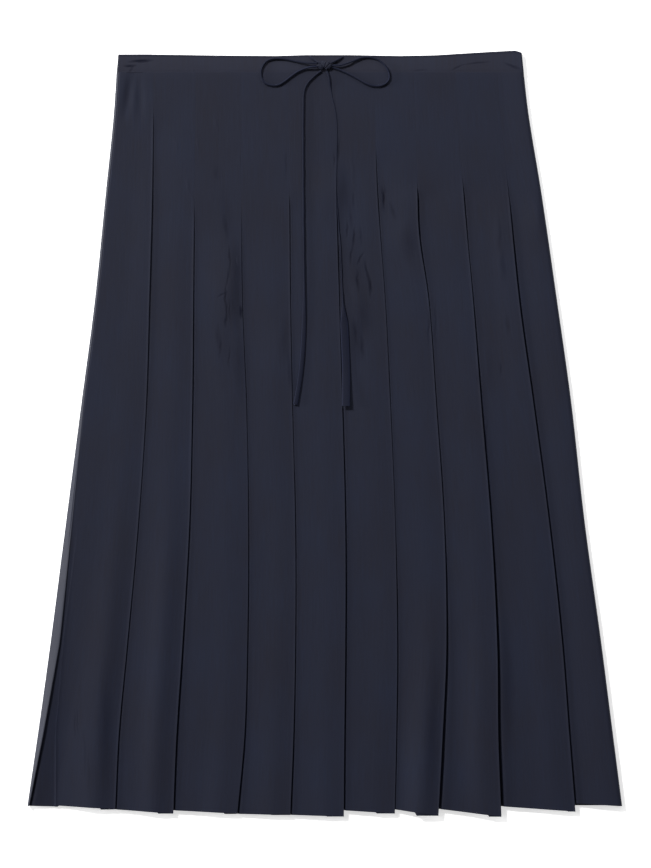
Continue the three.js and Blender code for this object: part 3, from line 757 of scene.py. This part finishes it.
def crease_line(x, drop, start, end, width, depth, steep=1.0):
    """One soft crease between two places, each an x and a drop. Across it is a Gaussian, and steep makes
    its left wall that many times the steeper. It fades smoothly from its middle to both ends. A negative
    depth is a ridge."""
    run, fall = end[0] - start[0], end[1] - start[1]
    long = math.hypot(run, fall)
    share = ((x - start[0]) * run + (drop - start[1]) * fall) / long**2
    aside = ((x - start[0]) * fall - (drop - start[1]) * run) / long
    wide = np.where(aside < 0, width / steep, width)
    fade = ease(2 * share) * ease(2 * (1 - share))
    return -depth * bell(aside / wide) * fade


# The front's soft creases: below the casing's left corner, beside the pleats, and long shallow ones. Each
# has a start and an end, then its width, its depth, and how steep its left wall is where that differs.
FRONT_MARKS = [
    ((-190, 4), (-202, 72), 4.5, 0.9),
    ((-187.5, 10), (-185, 76), 4.5, 0.8),
    ((-94, 178), (-93, 285), 8, -1.0, 0.35),
    ((-90, 255), (-86, 360), 7, -0.6, 0.4),
    ((-46, 250), (-41, 345), 8, -0.6, 0.5),
    ((-36, 270), (-32, 352), 3.5, -0.4, 0.6),
    ((-21, 270), (-29, 352), 3.5, -0.4, 0.6),
    ((10, 100), (13, 172), 11, -0.9, 0.5),
    ((30, 228), (36, 285), 11, -0.7, 0.6),
    ((76, 155), (81, 212), 11, -0.5, 0.6),
    ((159, 275), (163, 345), 4, -0.4, 0.5),
    ((172.5, 155), (175.5, 203), 4, -0.25),
    ((174.5, 186), (177.5, 232), 4, -0.25),
    ((211, 140), (220, 190), 4, -0.7, 0.35),
    ((-150, 300), (-151, 520), 16, 0.4),
    ((-60, 380), (-55, 640), 15, 0.4),
    ((44, 380), (46, 700), 15, 0.4),
    ((150, 470), (150, 700), 14, 0.4),
]


def crease_field(x, drop, marks):
    """All of a panel's soft creases at once. Every ply takes them, so that the plies move together."""
    return sum(crease_line(x, drop, *mark) for mark in marks)


# Front

ROWS = 116
NOSE = (45, 90, 135, 180)  # degrees round a folded edge

# A face's columns, as shares of its width, closest together beside the valley and at the folded edge
VALLEY = [0, 0.001, 0.02, 0.04, 0.06]
FACE = np.linspace(0.085, 0.945, 22)
FOLDED_EDGE = [0.965, 0.982, 0.992, 0.998, 1.0]
SIDE_EDGE = [0.985]
MARGIN = (0, 0.25, 0.5, 0.75, 0.92)
BY_CREASE = (-0.5, -0.15, 0.2, 0.55, 0.9, 1.4, 2.1, 3.0)  # millimetres in from the margin's crease


def row_drops(rows):
    """Even rows, with two more close to each end so that the cloth's edges are crisp."""
    start = CASING_DEPTH + 0.03
    even = np.linspace(start + 1.5, HEM - 1.2, rows)
    return np.concatenate([[start, start + 0.3], even, [HEM - 0.3, HEM]])


def hem_stretch(drop, hem_drop):
    """A point's y. Below the hip, each column is stretched evenly to its own hem."""
    below = np.clip((drop - HIP) / (HEM - HIP), 0, 1)
    return WAIST_Y - drop - below * (hem_drop - HEM)


def fold_shape(fold, drop):
    """A pleat's values on every row. free runs from 0 where it is stitched shut to 1 where it is open."""
    shape = {key: np.interp(drop, TUCK_LEVELS, fold[key]) for key in ("groove", "gap", "lift", "roll")}
    shape["free"] = ease((drop - fold["release"]) / fold["opens"])
    middle, half, depth = fold.get("bow", (0, 1, 0))
    shape["x"] = at(fold["x"], drop) + depth * bell((drop - middle) / half)
    return shape


def lap_opening(lap):
    """How far the side pleat is open where the back laps over by this much: a smooth step."""
    return ease((lap - 2.6) / 4)


def margin_height(x, drop, left, crease):
    """The first panel's height: inside the lap, a low margin that falls evenly away from the light, then
    a step up with a Gaussian lip at the sharp crease, and a smooth rise to the panel."""
    step = straight(CREASE_STEP, drop)
    inward = np.clip(x - left - straight(LAP, drop), 0, 24)
    edge = straight(MARGIN_Z, drop) - MARGIN_FALL * step * inward
    beyond = x - crease
    low = edge + step * 1.2 * ease((beyond + 0.3) / 1.2)
    run = ease(beyond / MARGIN_REACH)
    return low + (TOP_PLY - low) * run + 0.35 * step * bell((beyond - 1.2) / 0.9)


def front_columns():
    """The front's path across, for every row at once: the drops, and grids of x, z, the column's hem and
    the cloth's u. Each panel's face comes out of the valley beside the last fold and rises smoothly over
    the hidden plies of its own pleat. It has a Gaussian ridge and lip, rolls over its folded edge by half
    a circle, and runs back and forth under itself."""
    drop = row_drops(ROWS)
    left, right = at(LEFT_SIDE, drop), at(RIGHT_SIDE, drop)
    shapes = [fold_shape(f, drop) for f in FOLDS]
    crease = left + straight(CREASE, drop)
    columns = []

    def add(x, z, hem, u):
        columns.append((x + 0 * drop, z + 0 * drop, hem + 0 * drop, u + 0 * drop))

    # once for each panel, from the left. The last one ends at the side and has no pleat.
    for i in range(len(FOLDS) + 1):
        last = i == len(FOLDS)
        own = None if last else shapes[i]
        before = shapes[i - 1] if i else None
        fold = right if last else own["x"]
        lap = straight(LAP, drop)
        start = before["x"] + 0.05 if i else left + lap + 0.1 - 2.2 * lap_opening(lap)
        shown = fold - (start if i else crease)
        depth = 0 * drop + 6 if last else underlay(shown)

        def height(x, lifted=1.0):
            """The face's height at x on every row, with or without the lift of its folded edge."""
            rest = fold - x
            if i == 0:
                z = margin_height(x, drop, left, crease)
            else:
                low = TOP_PLY - (TOP_PLY - LOW_PLY) * before["free"]
                z = low + (TOP_PLY - low) * ease((x - start) / (RISE_SHARE * shown))
                z = z - before["groove"] * before["free"] * (1 - ease((x - start) / before["gap"]))
            if last:
                swell = 1.1 + 0.9 * ease((drop - 420) / 260)
                return z + swell * ease((x - start) / shown) - 0.5 * ease(1 - rest / 5) ** 2
            reach = np.minimum(RIDGE_SHARE * shown, RIDGE_REACH)
            z = z + own["roll"] * own["free"] * bell((rest - reach) / (RIDGE_WIDE * reach))
            z = z + LIP * FOLDS[i].get("lip", 1) * own["free"] * bell(rest / LIP_WIDE)
            return z + lifted * own["lift"] * own["free"] * ease(1 - rest / (LIFT_SHARE * shown))

        hem_a = PANEL_HEM_START[i]
        hem_b = RIGHT_HEM_END if last else FOLDS[i]["hem_end"]
        nose = SIDE_NOSE if last else 0.02 + PLY / 2 * own["free"]

        def add_margin(x):
            """A column of the first panel, between its edge and its crease or just beyond."""
            share = (x - left) / (fold - left)
            add(x, height(x), hem_a + (hem_b - hem_a) * share, -(fold - x))

        face = np.concatenate([VALLEY, FACE, SIDE_EDGE if last else FOLDED_EDGE])
        if i == 0:
            face = np.concatenate([[0, 0.03, 0.06], face[face > 0.09]])
            for share in MARGIN:
                add_margin(start + (crease - 0.5 - start) * share)
            for beyond in BY_CREASE:
                add_margin(crease + beyond)
            start = crease + 4.5
        for s in face:
            x = start + (fold - nose - start) * s
            z = height(x)
            if i and s == 0:
                z = np.minimum(z, LOW_PLY)
            add(x, z, hem_a + (hem_b - hem_a) * s, i * PLEAT_CLOTH - (fold - x))
        if last:
            top = height(right - nose)
            for a in np.radians((30, 60, 90)):
                add(right - nose + nose * math.sin(a), top - (top - SIDE_SEAM - 0.3) * (1 - math.cos(a)),
                    RIGHT_HEM_END, i * PLEAT_CLOTH + 2.5 * a)
            break
        # round the folded edge, in under the panel, round the hidden fold, and out to the next panel
        top = height(fold)
        for a in np.radians(NOSE):
            add(fold - nose + nose * math.sin(a), top - PLY / 2 + PLY / 2 * math.cos(a), hem_b,
                i * PLEAT_CLOTH + 0.5 * a / np.pi)
        for share in (0.4, 0.93):
            x = fold - nose - (depth - nose) * share
            add(x, height(x) - PLY, hem_b, i * PLEAT_CLOTH + 0.6 + depth * share)
        next_hem = PANEL_HEM_START[i + 1]
        x = fold - depth - 0.15
        add(x, height(x, 0.4) - 1.5 * PLY, (hem_b + next_hem) / 2, i * PLEAT_CLOTH + 0.8 + depth)
        for share in (0.93, 0.12):
            x = fold - depth * share
            add(x, height(x, 0) - 2 * PLY, next_hem, i * PLEAT_CLOTH + 1 + depth * (2 - share))
    return drop, [np.stack(part, 1) for part in zip(*columns)]


def make_front():
    """The front panel: its pleated path, plus the soft creases' Gaussians away from its two sides, less a
    narrow Gaussian groove along the casing's seam."""
    drop, (x, z, hem, u) = front_columns()
    down = drop[:, None] + 0 * x
    y = hem_stretch(down, hem)
    inside = ease((x - x[:, :1]) / 4) * ease((x[:, -1:] - x - 3) / 4)
    z = z + inside * crease_field(x, down, FRONT_MARKS)
    z = z - SEAM_GROOVE * bell((down - CASING_DEPTH) / SEAM_WIDE)
    rows, columns = x.shape
    points = np.stack([x, y, z], -1).reshape(-1, 3)
    uv = np.stack([u, y], -1).reshape(-1, 2)
    piece = mesh_piece("front_panel", points, quads(rows, columns), uv, sharp=38)
    piece.data.materials.append(front_look)
    thicken(piece)
    stand_for(piece, "skirt_front")
    return piece


front = make_front()


# Back


def make_back():
    """The back is a path of straight runs and short turns, pleated the same way seen from behind: its
    faces lie on the table, its pleats' plies above them. At the left it turns up round the edge and laps
    over the front as a strip that slopes down outward."""
    drop = row_drops(60)
    left, right = at(LEFT_SIDE, drop), at(RIGHT_SIDE, drop)
    pitch = (right - left) / (BACK_PLEATS + 1)
    depth = underlay(pitch)
    free = ease((drop - BACK_RELEASE) / BACK_OPENS)
    columns = []

    def add(x, z):
        columns.append((x + 0 * drop, z + 0 * drop))

    def folded_edge(i):
        """The i-th folded edge from the right, which points to -X."""
        return right - i * pitch - BACK_SWAY * math.sin(SWAY_STEP * i) * free

    lap = straight(LAP, drop)
    top = TOP_PLY + 0.1 + 1.1 * straight(ROOF, drop)
    fall = 1.6 + 3.0 * lap_opening(lap)

    def strip(share, below=0.0):
        add(left + (lap - 0.45) * (1 - share), top - 0.05 - fall * share**1.15 - below)

    # the lap, from its hidden return under the strip, over its folded edge, down the strip to the side
    strip(0.55, 0.8)
    strip(0.2, 0.8)
    for a in np.radians((150, 120, 90, 60, 30, 0)):
        add(left + lap - 0.45 + 0.45 * math.sin(a), top - 0.45 + 0.45 * math.cos(a))
    for share in (0.15, 0.3, 0.45, 0.6, 0.75, 0.9, 0.97):
        strip(share)
    add(left + 0.02, top - 0.05 - fall * 1.03)
    add(left, BACK_FACE + 1.6)
    add(left + 0.5, BACK_FACE + 0.7)
    add(left + 1.6, BACK_FACE + 0.12)
    for i in range(BACK_PLEATS, 0, -1):
        fold = folded_edge(i)
        face_start = left + 3 if i == BACK_PLEATS else folded_edge(i + 1) + 3.5
        for share in np.linspace(0, 1, 9):
            add(face_start * (1 - share) + (fold - 4) * share, BACK_FACE)
        # the face's slope up to run over the next fold's return
        add(fold - 1.5, BACK_FACE + 0.5)
        add(fold + 0.5, BACK_INNER)
        add(fold + depth * 0.5, BACK_INNER)
        add(fold + depth - 0.3, BACK_INNER)
        add(fold + depth, (BACK_INNER + BACK_TURN) / 2)
        add(fold + depth - 0.3, BACK_TURN)
        add(fold + depth * 0.5, BACK_TURN)
        add(fold + 0.4, BACK_TURN)
        add(fold, (BACK_TURN + BACK_FACE) / 2)
        add(fold + 0.4, BACK_FACE)
    for share in np.linspace(0.15, 1, 8):
        add((right - pitch + 0.4) * (1 - share) + (right - 2.6) * share, BACK_FACE)
    add(right - 1.0, BACK_FACE + 0.3)
    add(right - 0.3, BACK_FACE + 1.0)
    add(right, SIDE_SEAM - 0.3)
    x, z = (np.stack(part, 1) for part in zip(*columns))
    y = hem_stretch(drop[:, None], BACK_HEM + 0 * x)
    u = np.concatenate([np.zeros((len(drop), 1)), np.cumsum(np.hypot(np.diff(x), np.diff(z)), 1)], 1)
    rows, count = x.shape
    piece = mesh_piece("back_panel", np.stack([x, y, z], -1).reshape(-1, 3), quads(rows, count),
                       np.stack([u, y], -1).reshape(-1, 2))
    piece.data.materials.append(back_look)
    thicken(piece)
    stand_for(piece, "skirt_back")
    return piece


back = make_back()


# Casing


def casing_surface(bottom, top, columns):
    """A strip folded along the waist edge. Round the strip, the profile runs from the seam on top, up
    over the folded edge as part of an ellipse, and back to the seam below. On top it is a parabola with
    a Gaussian groove at the seam."""
    across = np.linspace(0, 1, columns)
    rise_x = WAIST_ENDS[0] + across * (WAIST_ENDS[1] - WAIST_ENDS[0])
    rise = np.interp(rise_x, WAIST_X, WAIST_RISE)
    seam_x = SEAM_ENDS[0] + across * (SEAM_ENDS[1] - SEAM_ENDS[0])
    middle, half = (top + bottom) / 2, (top - bottom) / 2
    profile = []
    for share in (-0.035, -0.01, 0.02, 0.05, 0.09, 0.14, *np.linspace(0.2, 0.92, 12)):
        groove = 0.15 * bell(share / 0.08)
        profile.append((share, top - groove - 0.9 * max(0, share - 0.3) ** 2))
    for a in np.radians(np.linspace(20, 160, 8)):
        profile.append((0.92 + 0.08 * math.sin(a), middle + half * math.cos(a)))
    for share in np.linspace(0.92, 0, 5):
        profile.append((share, bottom))
    share = np.array([p[0] for p in profile])[:, None]
    z = np.array([p[1] for p in profile])[:, None] + 0 * across[None]
    seam_y = WAIST_Y - CASING_DEPTH
    y = seam_y + share * (WAIST_Y + rise[None] - seam_y)
    x = seam_x[None] + share * (rise_x - seam_x)[None]
    return x, y, z


def make_casing(name, node, bottom, top, columns):
    """Half of the casing, between two heights."""
    x, y, z = casing_surface(bottom, top, columns)
    # rows run down the profile from the folded edge, so the top face looks up
    rows, count = x.shape
    points = np.stack([x, y, z], -1)[::-1].reshape(-1, 3)
    uv = np.stack([x, y], -1)[::-1].reshape(-1, 2)
    piece = mesh_piece(name, points, quads(rows, count), uv)
    piece.data.materials.append(casing_look)
    thicken(piece)
    stand_for(piece, node)
    return piece


casing_front = make_casing("waist_casing_front", "casing_front", TOP_PLY - 2.6, TOP_PLY, 240)
casing_back = make_casing("waist_casing_back", "casing_back", BACK_FACE, BACK_FACE + 2.4, 100)
